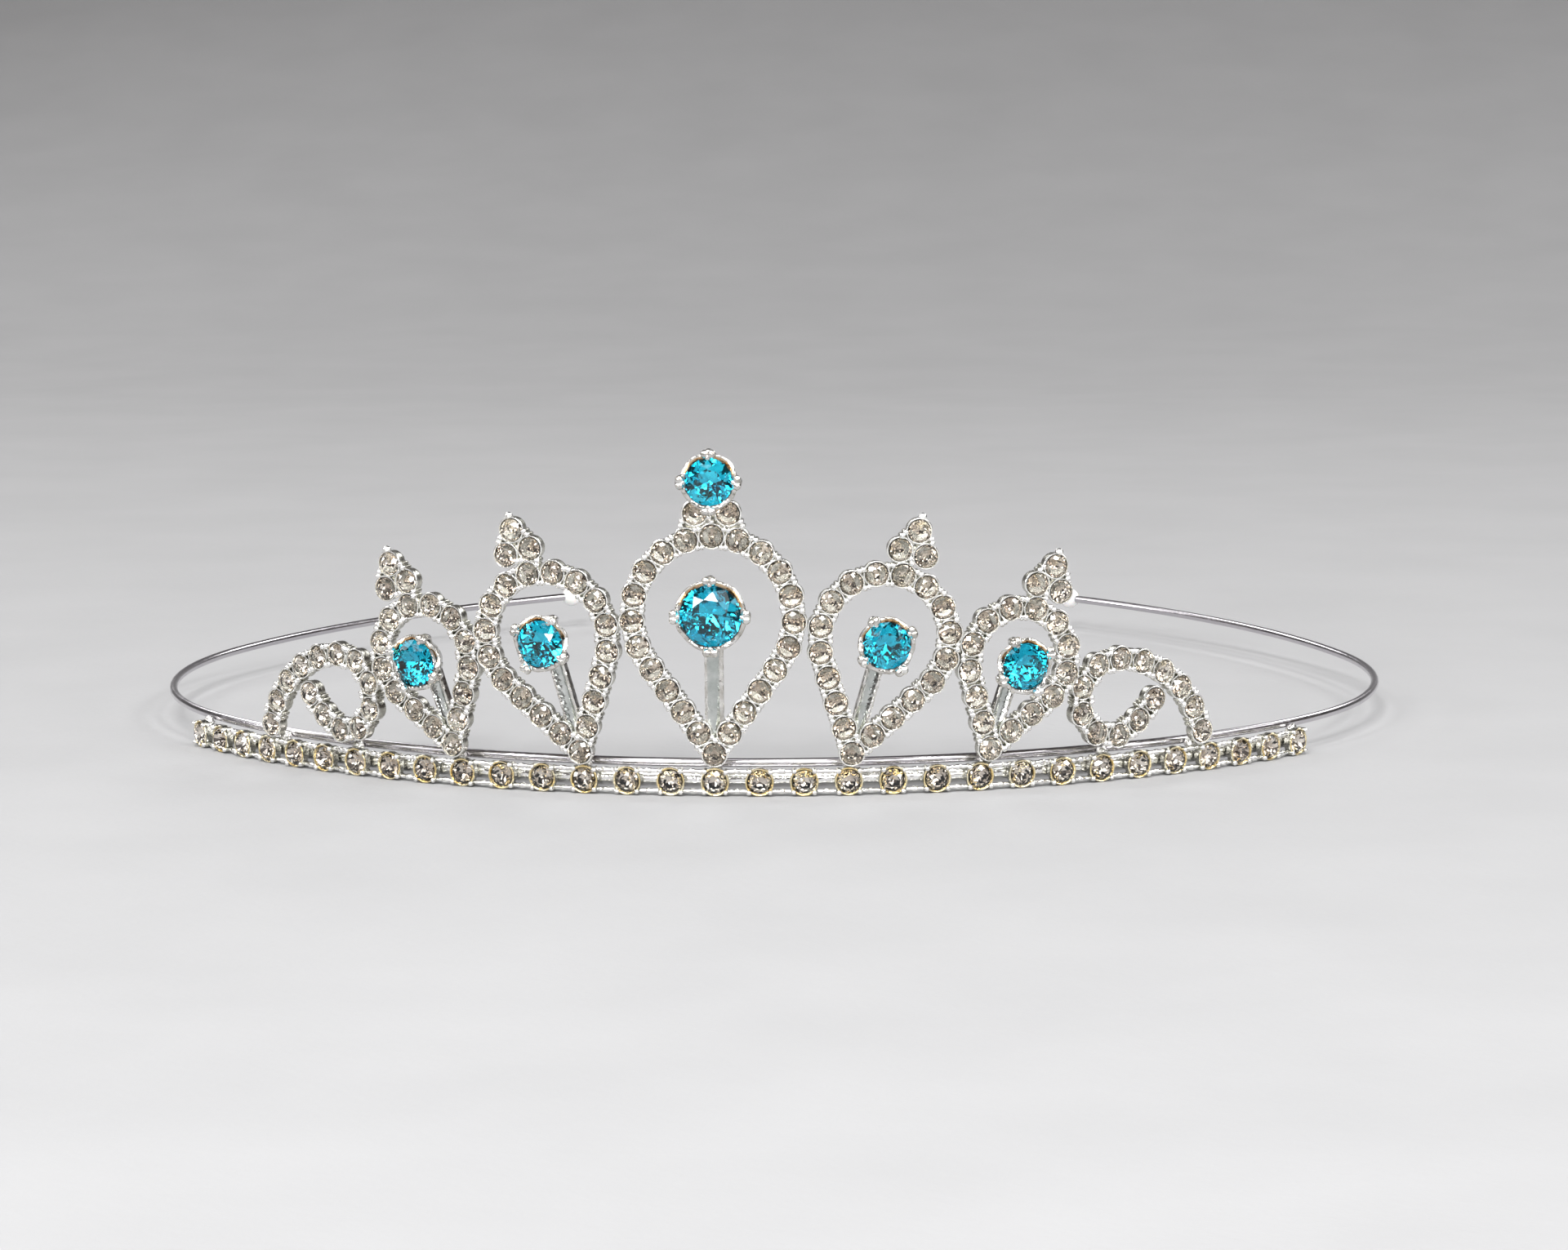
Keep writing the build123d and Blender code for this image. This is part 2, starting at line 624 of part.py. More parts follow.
# ---------------------------------------------------------------- solder
rail_end = (row_half + RAIL_OVERHANG, END_SOLDER_HEIGHT)
joints_right = [(MID_LOOP[3], SOLDER_HEIGHT), (OUTER_LOOP[3], SOLDER_HEIGHT),
                (SCROLL_REST, SOLDER_HEIGHT), (SCROLL_FOOT[0], SOLDER_HEIGHT), rail_end]
with BuildPart() as solder_right:
    for along, height in joints_right:
        with Locations(spot(along) * Location((0, height, SOLDER_OUT))):
            Sphere(SOLDER_RADIUS)
    for neighbour in (headband_front.part, base_rail.part, base_row_cups.part,
                      base_row_links.part, mid_loop["loop_frame"], outer_loop["loop_frame"],
                      scroll_frame):
        add(neighbour, mode=Mode.SUBTRACT)

with BuildPart() as solder_centre:
    with Locations(spot(0) * Location((0, SOLDER_HEIGHT, SOLDER_OUT))):
        Sphere(SOLDER_RADIUS)
    for neighbour in (headband_front.part, base_rail.part, base_row_cups.part,
                      base_row_links.part, centre_loop_frame.part):
        add(neighbour, mode=Mode.SUBTRACT)


with BuildPart() as solder_joints:
    add(solder_centre.part)
    add(solder_right.part)
    mirror(solder_right.part.solids(), about=Plane.YZ)


# ---------------------------------------------------------------- write every piece
publish("headband_front", headband_front.part)
publish("base_rail", base_rail.part)
publish("base_row_cups", base_row_cups.part)
publish("base_row_links", base_row_links.part)
publish("base_row_stones", base_row_stones.part)
publish("centre_loop_frame", centre_loop_frame.part)
publish("centre_loop_stones", centre_loop_stones)
publish("centre_stem", centre_stem)
publish("centre_crown", centre_crown.part)
publish("centre_blue_stone", centre_blue_stone.part)
publish("top_crown", top_crown.part)
publish("top_blue_stone", top_blue_stone.part)
publish("solder_joints", solder_joints.part)

pairs = {"headband_arm": headband_arm_right.part, "ball_tip": ball_tip_right.part,
         "scroll_frame": scroll_frame, "scroll_stones": scroll_stones}
pairs.update({f"mid_{name}": piece for name, piece in mid_loop.items()})
pairs.update({f"outer_{name}": piece for name, piece in outer_loop.items()})
for name, piece in pairs.items():
    publish(f"{name}_right", piece)
    with BuildPart() as reflected:
        add(piece.solids())
        mirror(piece.solids(), about=Plane.YZ, mode=Mode.REPLACE)
    publish(f"{name}_left", reflected.part)
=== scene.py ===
"""Looks of the bridal tiara: faceted stones, cast cups, crowns, stems and the wire headband.

Metres, -Y to the front, +Z up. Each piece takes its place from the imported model's own solids.
"""

import math
import random

import bmesh
import bpy
from mathutils import Matrix, Vector, noise


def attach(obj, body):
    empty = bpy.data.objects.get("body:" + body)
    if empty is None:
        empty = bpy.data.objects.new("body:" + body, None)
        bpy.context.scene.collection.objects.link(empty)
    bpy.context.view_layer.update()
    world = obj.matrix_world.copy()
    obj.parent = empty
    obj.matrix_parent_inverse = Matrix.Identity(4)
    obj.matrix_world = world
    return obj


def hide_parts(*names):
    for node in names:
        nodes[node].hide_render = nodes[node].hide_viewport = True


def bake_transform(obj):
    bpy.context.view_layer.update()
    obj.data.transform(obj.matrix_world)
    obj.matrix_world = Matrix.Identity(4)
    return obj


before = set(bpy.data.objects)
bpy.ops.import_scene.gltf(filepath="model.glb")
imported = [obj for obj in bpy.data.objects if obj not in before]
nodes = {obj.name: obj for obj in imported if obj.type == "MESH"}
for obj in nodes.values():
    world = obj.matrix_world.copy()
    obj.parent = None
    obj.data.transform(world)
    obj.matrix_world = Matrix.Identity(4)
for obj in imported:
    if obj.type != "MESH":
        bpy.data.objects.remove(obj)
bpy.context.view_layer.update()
scene = bpy.context.scene

MM = 0.001
ROOT = "tiara"
SIDES = ("left", "right")

# Cuts of the stones, with every length as a share of the girdle radius.
CLEAR_TABLE, CLEAR_CROWN, CLEAR_PAVILION = 0.56, 0.36, 0.80
BASE_PAVILION = 0.52        # for the shallower cups of the base row
BLUE_TABLE, BLUE_CROWN, BLUE_PAVILION = 0.60, 0.34, 0.82
LOWER_CORNER = 0.42         # where the long lower facets end
MIDDLE_REACH = 1.04         # how far the kite facets' side corners are pushed out
STONE_FIT = 0.995           # a stone's radius over that of its seat
STONE_LEAN = 2.5            # degrees that a stone may tip in its cup, either way

# Castings, in millimetres.
GIRDLE = 0.08               # thickness of a stone at its girdle
LINK_REACH = 2.95           # cups nearer than this are linked
PRONG_SIDE = 0.92           # from the middle of a link to the notch beside it
PRONG_SPACING = 1.2         # least distance between two notches
PRONG_CLEAR = 1.5           # least distance from a notch to the middle of a cup
GRAIN_STEP = 0.24           # from a notch to each of its two grains
GRAIN_SIZE = (0.29, 0.34)   # least and greatest radius of a grain
LINK_BLOCK = ((-1.0, -0.70, -1.22), (1.0, 0.70, -0.34), 0.16)   # two corners and the rounding
PEAK_RISE, PEAK_SINK = 1.38, 0.35   # the grain on a peak, from the peak's topmost stone

# Crowns, in millimetres.
CROWN_BACK = -3.24          # back of a crown, from its stone's girdle
CROWN_RIM = 0.42            # outside of the rim, from the stone's edge
CROWN_FOOT = 0.56           # radius of the back, over the stone's radius
# The arc cut into the rim between two claws: radius, height of its centre, half its width.
SCALLOP_RADIUS, SCALLOP_CENTRE, SCALLOP_HALF = 1.5, 0.95, 1.16

# Materials of a piece, by their place in its list.
BODY, GRAIN, RIM = 0, 1, 2
GLASS, BACK = 0, 1          # of a stone
# A crown's second material is the painted brown reflection on its rim; a stem's is its trough,
# darkened as painted shade.
PAINTED_REFLECTION, TROUGH = 1, 1       # of a crown and of a stem

# First seeds of the pieces that differ a little from each other.
BASE_CUP_SEED, BASE_STONE_SEED, CLEAR_STONE_SEED = 11, 21, 31
CASTING_SEED, BLUE_STONE_SEED, STEM_SEED, SOLDER_SEED = 51, 71, 11, 5


# ---------------------------------------------------------------- camera and studio
# The camera's azimuth, elevation and roll are in degrees, its target in millimetres and its
# distance in metres.
CAMERA_ANGLES = (5.309, 7.703, -0.427)
CAMERA_TARGET = (1.912, -5.5, 9.87)
CAMERA_DISTANCE = 0.5029
CAMERA_LENS = 102.67

WORLD_COLOUR = (0.075, 0.063, 0.060, 1.0)
LIGHT_AIM = Vector((0.0, -0.03, 0.012))
LIGHT_DISTANCE = 0.9
# Groups of soft boxes: name, side in metres, radiance, and each one's azimuth and elevation.
LIGHT_GROUPS = (
    ("front_light", 0.30, 2.4, ((-62, 22), (-34, 50), (28, 18), (50, 46), (80, 22), (108, 38),
                                (-112, 36))),
    ("back_light", 0.26, 5.0, ((-150, 30), (150, 30))),
    ("spark_light", 0.125, 22.0, ((-44, 30), (-18, 12), (8, 58), (14, 20), (38, 32), (66, 14),
                                  (-68, 50), (-30, 66), (92, 40), (-96, 18), (60, 60))),
)


def look_along(azimuth, elevation, roll):
    """Right, up and forward of a camera that looks along +Y at azimuth 0."""
    az, el, tilt = math.radians(azimuth), math.radians(elevation), math.radians(roll)
    forward = Vector((-math.sin(az) * math.cos(el), math.cos(az) * math.cos(el), -math.sin(el)))
    right = Vector((math.cos(az), math.sin(az), 0.0))
    up = right.cross(forward)
    return (right * math.cos(tilt) + up * math.sin(tilt),
            up * math.cos(tilt) - right * math.sin(tilt), forward)


def add_camera():
    data = bpy.data.cameras.new("camera")
    data.sensor_width = 36.0
    data.lens = CAMERA_LENS
    data.clip_start, data.clip_end = 0.01, 20.0
    camera = bpy.data.objects.new("camera", data)
    right, up, forward = look_along(*CAMERA_ANGLES)
    turn = Matrix((right, up, -forward)).transposed()
    target = Vector(CAMERA_TARGET) * MM
    place = target - forward * CAMERA_DISTANCE
    camera.matrix_world = Matrix.Translation(place) @ turn.to_4x4()
    scene.collection.objects.link(camera)
    scene.camera = camera


def add_box_light(name, azimuth, elevation, size, radiance):
    """Square soft box round the tiara; azimuth 0 is in front of it, 90 to the right."""
    az, el = math.radians(azimuth), math.radians(elevation)
    away = Vector((math.sin(az) * math.cos(el), -math.cos(az) * math.cos(el), math.sin(el)))
    data = bpy.data.lights.new(name, "AREA")
    data.shape = "RECTANGLE"
    data.size = data.size_y = size
    data.energy = radiance * math.pi * size * size
    light = bpy.data.objects.new(name, data)
    facing = away.to_track_quat("Z", "Y").to_matrix().to_4x4()
    light.matrix_world = Matrix.Translation(LIGHT_AIM + away * LIGHT_DISTANCE) @ facing
    scene.collection.objects.link(light)


def add_studio():
    """Dim room with soft boxes: broad ones shape the metal, small bright ones make sparks."""
    world = bpy.data.worlds.new("studio")
    world.use_nodes = True
    ground = world.node_tree.nodes["Background"]
    ground.inputs["Color"].default_value = WORLD_COLOUR
    ground.inputs["Strength"].default_value = 1.0
    scene.world = world
    scene.view_settings.view_transform = "Standard"
    add_box_light("top_light", 0, 80, 0.42, 2.6)
    add_box_light("key_light", -6, 37, 0.22, 30.0)
    for kind, size, radiance, directions in LIGHT_GROUPS:
        for azimuth, elevation in directions:
            add_box_light(f"{kind}_{azimuth}", azimuth, elevation, size, radiance)


# ---------------------------------------------------------------- materials
# Parts of a noise's range that a ramp spreads its colours or greys over.
TONE_SPREAD = (0.35, 0.65)
GRAIN_SPREAD = (0.3, 0.7)
POLISH_SPREAD = (0.35, 0.7)


def new_material(name):
    material = bpy.data.materials.new(name)
    material.use_nodes = True
    tree = material.node_tree
    return material, tree, tree.nodes["Principled BSDF"]


def noise_texture(tree, scale, detail):
    """Solid noise in the object's own space, so it keeps its size from piece to piece."""
    place = tree.nodes.new("ShaderNodeTexCoord")
    texture = tree.nodes.new("ShaderNodeTexNoise")
    texture.inputs["Scale"].default_value = scale
    texture.inputs["Detail"].default_value = detail
    tree.links.new(place.outputs["Object"], texture.inputs["Vector"])
    return texture.outputs["Fac"]


def ramp(tree, factor, spread, colours):
    """Colours or greys spread over part of a factor's range."""
    low, high = spread
    node = tree.nodes.new("ShaderNodeValToRGB")
    elements = node.color_ramp.elements
    while len(elements) < len(colours):
        elements.new(0.5)
    for index, colour in enumerate(colours):
        elements[index].position = low + (high - low) * index / (len(colours) - 1)
        value = colour if isinstance(colour, tuple) else (colour,) * 3
        elements[index].color = (*value, 1.0)
    tree.links.new(factor, node.inputs["Fac"])
    return node.outputs["Color"]


def bump(tree, shader, height, distance):
    node = tree.nodes.new("ShaderNodeBump")
    node.inputs["Strength"].default_value = 1.0
    node.inputs["Distance"].default_value = distance
    tree.links.new(height, node.inputs["Height"])
    tree.links.new(node.outputs["Normal"], shader.inputs["Normal"])


def metal(name, tones, drift, rough, grain, depth):
    """Plated metal: its tone drifts over the piece, and a fine grain breaks up the shine."""
    material, tree, shader = new_material(name)
    shader.inputs["Metallic"].default_value = 1.0
    tree.links.new(ramp(tree, noise_texture(tree, drift, 3.0), TONE_SPREAD, tones),
                   shader.inputs["Base Color"])
    fine = noise_texture(tree, grain, 2.0)
    tree.links.new(ramp(tree, fine, GRAIN_SPREAD, rough), shader.inputs["Roughness"])
    bump(tree, shader, fine, depth)
    return material


def glass(name, colours, drift, ior):
    """Cut glass: the body colour drifts a little and the polish isn't even."""
    material, tree, shader = new_material(name)
    shader.inputs["Transmission Weight"].default_value = 1.0
    shader.inputs["IOR"].default_value = ior
    tree.links.new(ramp(tree, noise_texture(tree, drift, 1.0), TONE_SPREAD, colours),
                   shader.inputs["Base Color"])
    tree.links.new(ramp(tree, noise_texture(tree, 1500.0, 2.0), POLISH_SPREAD, (0.0, 0.012)),
                   shader.inputs["Roughness"])
    return material


def pearl(name):
    """Milky bead with a clear coat."""
    material, tree, shader = new_material(name)
    tree.links.new(ramp(tree, noise_texture(tree, 700.0, 3.0), GRAIN_SPREAD,
                        ((0.80, 0.78, 0.76), (0.93, 0.92, 0.90))), shader.inputs["Base Color"])
    fine = noise_texture(tree, 3000.0, 2.0)
    tree.links.new(ramp(tree, fine, GRAIN_SPREAD, (0.12, 0.26)), shader.inputs["Roughness"])
    shader.inputs["Coat Weight"].default_value = 0.8
    shader.inputs["Coat Roughness"].default_value = 0.05
    shader.inputs["Subsurface Weight"].default_value = 0.2
    shader.inputs["Subsurface Scale"].default_value = 0.0006
    bump(tree, shader, fine, 0.00002)
    return material


def floor_paper(name):
    """Pale matt paper with a faint mottle."""
    material, tree, shader = new_material(name)
    tree.links.new(ramp(tree, noise_texture(tree, 40.0, 4.0), GRAIN_SPREAD,
                        ((0.36, 0.36, 0.365), (0.38, 0.38, 0.385))), shader.inputs["Base Color"])
    shader.inputs["Roughness"].default_value = 0.85
    bump(tree, shader, noise_texture(tree, 900.0, 3.0), 0.00005)
    return material


# Painted shade: the castings' cup walls, links and posts take a silver darkened well below the
# bright rims and grains, so the hollows between them read as shaded.
silver = metal("silver_plate", ((0.38, 0.37, 0.32), (0.66, 0.65, 0.58)),
               drift=900.0, rough=(0.20, 0.34), grain=3500.0, depth=0.00003)
rim_silver = metal("rim_silver", ((0.90, 0.89, 0.84), (0.97, 0.97, 0.94)),
                   drift=900.0, rough=(0.16, 0.28), grain=3500.0, depth=0.00002)
bright_silver = metal("bright_silver", ((0.92, 0.91, 0.88), (0.98, 0.98, 0.96)),
                      drift=1200.0, rough=(0.10, 0.22), grain=4000.0, depth=0.00003)
crown_silver = metal("crown_silver", ((0.52, 0.50, 0.46), (0.86, 0.85, 0.82)),
                     drift=1100.0, rough=(0.10, 0.22), grain=3500.0, depth=0.00004)
# Painted reflection: a brown band on the upper inside of each crown's rim, metal coloured brown to
# stand in for a reflection there, not a separate bronze part.
brown_reflection_paint = metal("rim_painted_reflection", ((0.50, 0.30, 0.14), (0.74, 0.56, 0.36)),
               drift=900.0, rough=(0.14, 0.28), grain=3500.0, depth=0.00003)
gilt = metal("worn_gilt", ((0.93, 0.74, 0.36), (0.95, 0.88, 0.66)),
             drift=500.0, rough=(0.12, 0.28), grain=3500.0, depth=0.00003)
solder = metal("soft_solder", ((0.70, 0.69, 0.66), (0.88, 0.87, 0.85)),
               drift=1500.0, rough=(0.18, 0.38), grain=2500.0, depth=0.00008)
steel = metal("spring_steel", ((0.56, 0.54, 0.57), (0.66, 0.64, 0.66)),
              drift=60.0, rough=(0.16, 0.26), grain=1200.0, depth=0.00001)
foil = metal("mirror_foil", ((0.62, 0.56, 0.50), (0.90, 0.86, 0.79)),
             drift=600.0, rough=(0.0, 0.02), grain=1800.0, depth=0.000014)
blue_foil = metal("blue_foil", ((0.70, 0.82, 0.88), (0.94, 0.96, 0.98)),
                  drift=600.0, rough=(0.0, 0.02), grain=1400.0, depth=0.00002)
# Painted shade: the stems' troughs are darker than their lips, standing in for the dark hollow.
trough = metal("painted_shade_trough", ((0.46, 0.49, 0.47), (0.66, 0.68, 0.66)),
               drift=700.0, rough=(0.10, 0.22), grain=2500.0, depth=0.00004)
clear_glass = glass("clear_stone", ((0.97, 0.94, 0.91), (1.0, 0.99, 0.98)),
                    drift=250.0, ior=1.58)
blue_glass = glass("blue_stone", ((0.010, 0.42, 0.60), (0.034, 0.76, 0.92)),
                   drift=350.0, ior=1.58)


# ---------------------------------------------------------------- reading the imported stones
def stone_places(name):
    """Each stone of a node as (middle of its table, axis, girdle radius)."""
    mesh = nodes[name].data
    welded = {}             # each place, to the micrometre, and its number
    index = [welded.setdefault(tuple(round(c * 1e6) for c in v.co), len(welded))
             for v in mesh.vertices]
    leader = list(range(len(welded)))

    def lead(i):
        while leader[i] != i:
            leader[i] = leader[leader[i]]
            i = leader[i]
        return i

    for polygon in mesh.polygons:
        first = lead(index[polygon.vertices[0]])
        for vertex in polygon.vertices[1:]:
            leader[lead(index[vertex])] = first
    stones = {}
    for polygon in mesh.polygons:
        stones.setdefault(lead(index[polygon.vertices[0]]), []).append(polygon)
    found = []
    for polygons in stones.values():
        flats = {}          # area, middle and normal of what faces one way
        for polygon in polygons:
            key = tuple(round(c, 2) for c in polygon.normal)
            total, middle, normal = flats.get(key, (0.0, Vector(), Vector()))
            flats[key] = (total + polygon.area, middle + polygon.center * polygon.area,
                          normal + polygon.normal * polygon.area)
        total, middle, normal = max(flats.values(), key=lambda flat: flat[0])
        axis, table = normal.normalized(), middle / total
        radius = max((mesh.vertices[v].co - table).cross(axis).length
                     for polygon in polygons for v in polygon.vertices)
        found.append((table, axis, radius))
    return sorted(found, key=lambda place: (place[0].x, place[0].z))


def girdles(name, crown):
    """Each stone of a node as (middle of its girdle, axis, radius)."""
    return [(table - axis * (GIRDLE / 2 * MM + crown * radius), axis, radius)
            for table, axis, radius in stone_places(name)]


def face_frame(origin, axis, turn=0.0):
    """Matrix with +Z along an axis, +Y as near to up as it goes, turned about the axis."""
    side = Vector((0, 0, 1)).cross(axis).normalized()
    up = axis.cross(side)
    return (Matrix.Translation(origin) @ Matrix((side, up, axis)).transposed().to_4x4()
            @ Matrix.Rotation(turn, 4, "Z"))


# ---------------------------------------------------------------- mesh building
def finish_piece(bm, name, materials, node, smooth_angle=None, body=ROOT):
    """Turns a bmesh into a piece that stands for a CAD node and rides on a body, if it has one."""
    mesh = bpy.data.meshes.new(name)
    bmesh.ops.recalc_face_normals(bm, faces=bm.faces)
    bm.to_mesh(mesh)
    bm.free()
    for material in materials:
        mesh.materials.append(material)
    piece = bpy.data.objects.new(name, mesh)
    scene.collection.objects.link(piece)
    if smooth_angle is not None:
        mesh.shade_smooth()
        mesh.set_sharp_from_angle(angle=math.radians(smooth_angle))
    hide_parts(node)
    if body:
        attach(piece, body)
    return piece


def ring(bm, matrix, radius, height, count, offset=0.0):
    """Points round a circle, in millimetres in the matrix's own frame."""
    points = []
    for step in range(count):
        angle = 2 * math.pi * (step + offset) / count
        local = Vector((radius * math.cos(angle), radius * math.sin(angle), height)) * MM
        points.append(bm.verts.new(matrix @ local))
    return points


def face(bm, points, material):
    bm.faces.new(points).material_index = material


def band(bm, low, high, material):
    """Faces between two closed rings of points."""
    count = len(low)
    for step in range(count):
        after = (step + 1) % count
        corners = [low[step], low[after], high[after], high[step]]
        face(bm, list(dict.fromkeys(corners)), material)


def lathe(bm, matrix, profile, count, rim_bands=()):
    """Surface of revolution from (radius, height) pairs, with the rim's material on some bands."""
    rings = []
    for radius, height in profile:
        if radius == 0:
            rings.append([bm.verts.new(matrix @ Vector((0, 0, height * MM)))] * count)
        else:
            rings.append(ring(bm, matrix, radius, height, count))
    for index, (low, high) in enumerate(zip(rings, rings[1:])):
        band(bm, low, high, RIM if index in rim_bands else BODY)


def brilliant(bm, matrix, radius, table, crown, pavilion):
    """Brilliant-cut stone with its girdle at z = 0, glass above and foiled behind."""
    half = GIRDLE / 2
    top = half + crown * radius
    flat = math.cos(math.pi / 8)    # middle of an octagon's side, over its corner's radius
    mid_radius = (1 + table) / 2 * radius * MIDDLE_REACH
    slope = (top - half) / (radius - table * radius)
    mid_height = top - (mid_radius * flat - table * radius) * slope
    low_radius = LOWER_CORNER * radius
    low_height = -half - pavilion * radius * (1 - low_radius * flat / radius)
    tables = ring(bm, matrix, table * radius, top, 8)
    mids = ring(bm, matrix, mid_radius, mid_height, 8, 0.5)
    upper = ring(bm, matrix, radius, half, 16)
    lower = ring(bm, matrix, radius, -half, 16)
    lows = ring(bm, matrix, low_radius, low_height, 8, 0.5)
    culet = bm.verts.new(matrix @ Vector((0, 0, (-half - pavilion * radius) * MM)))
    face(bm, tables, GLASS)
    for k in range(8):
        after, before = (k + 1) % 8, (k - 1) % 8
        face(bm, [tables[k], mids[k], tables[after]], GLASS)
        face(bm, [tables[k], mids[before], upper[2 * k], mids[k]], GLASS)
        face(bm, [mids[k], upper[2 * k], upper[2 * k + 1]], GLASS)
        face(bm, [mids[k], upper[2 * k + 1], upper[2 * after]], GLASS)
        face(bm, [culet, lows[before], lower[2 * k], lows[k]], BACK)
        face(bm, [lows[k], lower[2 * k], lower[2 * k + 1]], BACK)
        face(bm, [lows[k], lower[2 * k + 1], lower[2 * after]], BACK)
    band(bm, upper, lower, BACK)


def bead(bm, matrix, place, radius, stretch, material, fineness=2):
    """Cast grain: a small ball, stretched, at a place in millimetres."""
    scale = Matrix.Diagonal((*[radius * MM * s for s in stretch], 1.0))
    made = bmesh.ops.create_icosphere(
        bm, subdivisions=fineness, radius=1.0,
        matrix=matrix @ Matrix.Translation(Vector(place) * MM) @ scale)
    for item in {f for v in made["verts"] for f in v.link_faces}:
        item.material_index = material


def add_stones(name, node, table, crown, pavilion, materials, seed):
    """Faceted stones in place of a node's plain ones, each set its own way in its cup."""
    rng = random.Random(seed)
    lean = math.radians(STONE_LEAN)
    bm = bmesh.new()
    for place, axis, radius in girdles(node, crown):
        spin = rng.uniform(0, math.pi / 4)
        size = radius / MM * STONE_FIT
        tip = (Matrix.Rotation(rng.uniform(-lean, lean), 4, "X")
               @ Matrix.Rotation(rng.uniform(-lean, lean), 4, "Y"))
        turn = Matrix.Rotation(spin, 4, "Z")
        brilliant(bm, face_frame(place, axis) @ tip @ turn, size, table, crown, pavilion)
    finish_piece(bm, name, materials, node)


# ---------------------------------------------------------------- castings of linked cups
# Profiles of (radius, height) in millimetres, with height 0 at the stones' girdles.
CUP_PROFILE = [(0, -1.29), (0.90, -1.29), (1.16, -1.22), (1.27, -1.04), (1.30, -0.60),
               (1.325, -0.20), (1.365, -0.06), (1.368, 0.03), (1.335, 0.10), (1.275, 0.12),
               (1.215, 0.10), (1.165, 0.02), (1.135, -0.06), (0.95, -0.30), (0.0, -1.02)]
CUP_RIM_BANDS = range(6, 11)
POST_PROFILE = [(0, -1.15), (0.2, -1.12), (0.26, -0.95), (0.25, 0.15), (0.18, 0.25), (0, 0.3)]


def links_of(places):
    """Neighbouring cups as their middle and direction, in millimetres."""
    found = []
    for index, (x0, y0) in enumerate(places):
        for x1, y1 in places[index + 1:]:
            if math.hypot(x1 - x0, y1 - y0) < LINK_REACH:
                found.append(((x0 + x1) / 2, (y0 + y1) / 2, math.atan2(y1 - y0, x1 - x0)))
    return found


def prongs_of(places, keep_off):
    """Notches beside the links, clear of every cup and of each other."""
    found = []
    for x, y, heading in links_of(places):
        for side in (-PRONG_SIDE, PRONG_SIDE):
            u, v = x - side * math.sin(heading), y + side * math.cos(heading)
            if (all(math.hypot(u - a, v - b) > PRONG_CLEAR for a, b in places + keep_off)
                    and all(math.hypot(u - a, v - b) > PRONG_SPACING for a, b, _ in found)):
                found.append((u, v, heading))
    return found


def add_casting(name, stone_node, frame_node, around, seed, peak=None, tab=False):
    """One casting: cups with rolled rims, low links, and a pair of grains in each notch."""
    rng = random.Random(seed)
    stones = girdles(stone_node, CLEAR_CROWN)
    axis = stones[0][1]
    base = face_frame(stones[0][0], axis)
    inverse = base.inverted()

    def flat(points):
        return [tuple(c / MM for c in (inverse @ p).xy) for p in points]

    places = flat([place for place, _, _ in stones])
    keep_off = flat([place for node in around for place, _, _ in girdles(node, CLEAR_CROWN)])
    bm = bmesh.new()
    for x, y in places:
        here = base @ Matrix.Translation(Vector((x, y, 0)) * MM)
        lathe(bm, here, CUP_PROFILE, 28, CUP_RIM_BANDS)
    for x, y, heading in links_of(places):
        here = base @ Matrix.Translation(Vector((x, y, 0)) * MM) @ Matrix.Rotation(heading, 4, "Z")
        block(bm, here, *LINK_BLOCK)
    for x, y, heading in prongs_of(places, keep_off):
        here = base @ Matrix.Translation(Vector((x, y, 0)) * MM) @ Matrix.Rotation(heading, 4, "Z")
        for step in (-GRAIN_STEP, GRAIN_STEP):
            size = rng.uniform(*GRAIN_SIZE)
            spot = (step + rng.uniform(-0.03, 0.03), rng.uniform(-0.04, 0.04), 0.2)
            bead(bm, here, spot, size, (1, 1.05, 0.95), GRAIN)
            post = Matrix.Translation(Vector((spot[0], spot[1], 0)) * MM)
            lathe(bm, here @ post, POST_PROFILE, 10)
    if peak:
        bead(bm, base, [c / MM for c in inverse @ peak], 0.45, (1, 1, 0.95), GRAIN, 3)
    if tab:     # behind the two topmost cups, up to the crown above them
        pair = sorted(places, key=lambda place: -place[1])[:2]
        x, y = (pair[0][0] + pair[1][0]) / 2, pair[0][1]
        block(bm, base, (x - 0.6, y - 0.6, -1.29), (x + 0.6, y + 1.8, -0.82), 0.08)
    # Cup walls, links and posts in the darkened silver as painted shade; grains and rims in the
    # bright silvers.
    finish_piece(bm, name, [silver, bright_silver, rim_silver], frame_node, 38)


def block(bm, matrix, low, high, rounding):
    """Box with rounded edges, corners in millimetres."""
    size = [(h - l) * MM for l, h in zip(low, high)]
    middle = Vector([(h + l) / 2 * MM for l, h in zip(low, high)])
    made = bmesh.ops.create_cube(
        bm, size=1.0, matrix=matrix @ Matrix.Translation(middle) @ Matrix.Diagonal((*size, 1.0)))
    edges = list(dict.fromkeys(e for v in made["verts"] for e in v.link_edges))
    bmesh.ops.bevel(bm, geom=edges, offset=rounding * MM, segments=2, profile=0.6,
                    affect="EDGES")


# ---------------------------------------------------------------- crowns and stems
def sweep(bm, matrix, path):
    """Closed bar through (place, width, depth) stations that lie in the matrix's XZ plane."""
    rings, sides = [], 12
    for index, (place, width, depth) in enumerate(path):
        ahead = Vector(path[min(index + 1, len(path) - 1)][0])
        behind = Vector(path[max(index - 1, 0)][0])
        along = (ahead - behind).normalized()
        across = Vector((0, 1, 0))
        normal = along.cross(across)
        points = []
        for step in range(sides):
            angle = 2 * math.pi * step / sides
            local = (Vector(place) + across * width * math.cos(angle)
                     + normal * depth * math.sin(angle))
            points.append(bm.verts.new(matrix @ (local * MM)))
        rings.append(points)
    for low, high in zip(rings, rings[1:]):
        band(bm, low, high, BODY)
    face(bm, rings[0], BODY)
    face(bm, rings[-1], BODY)


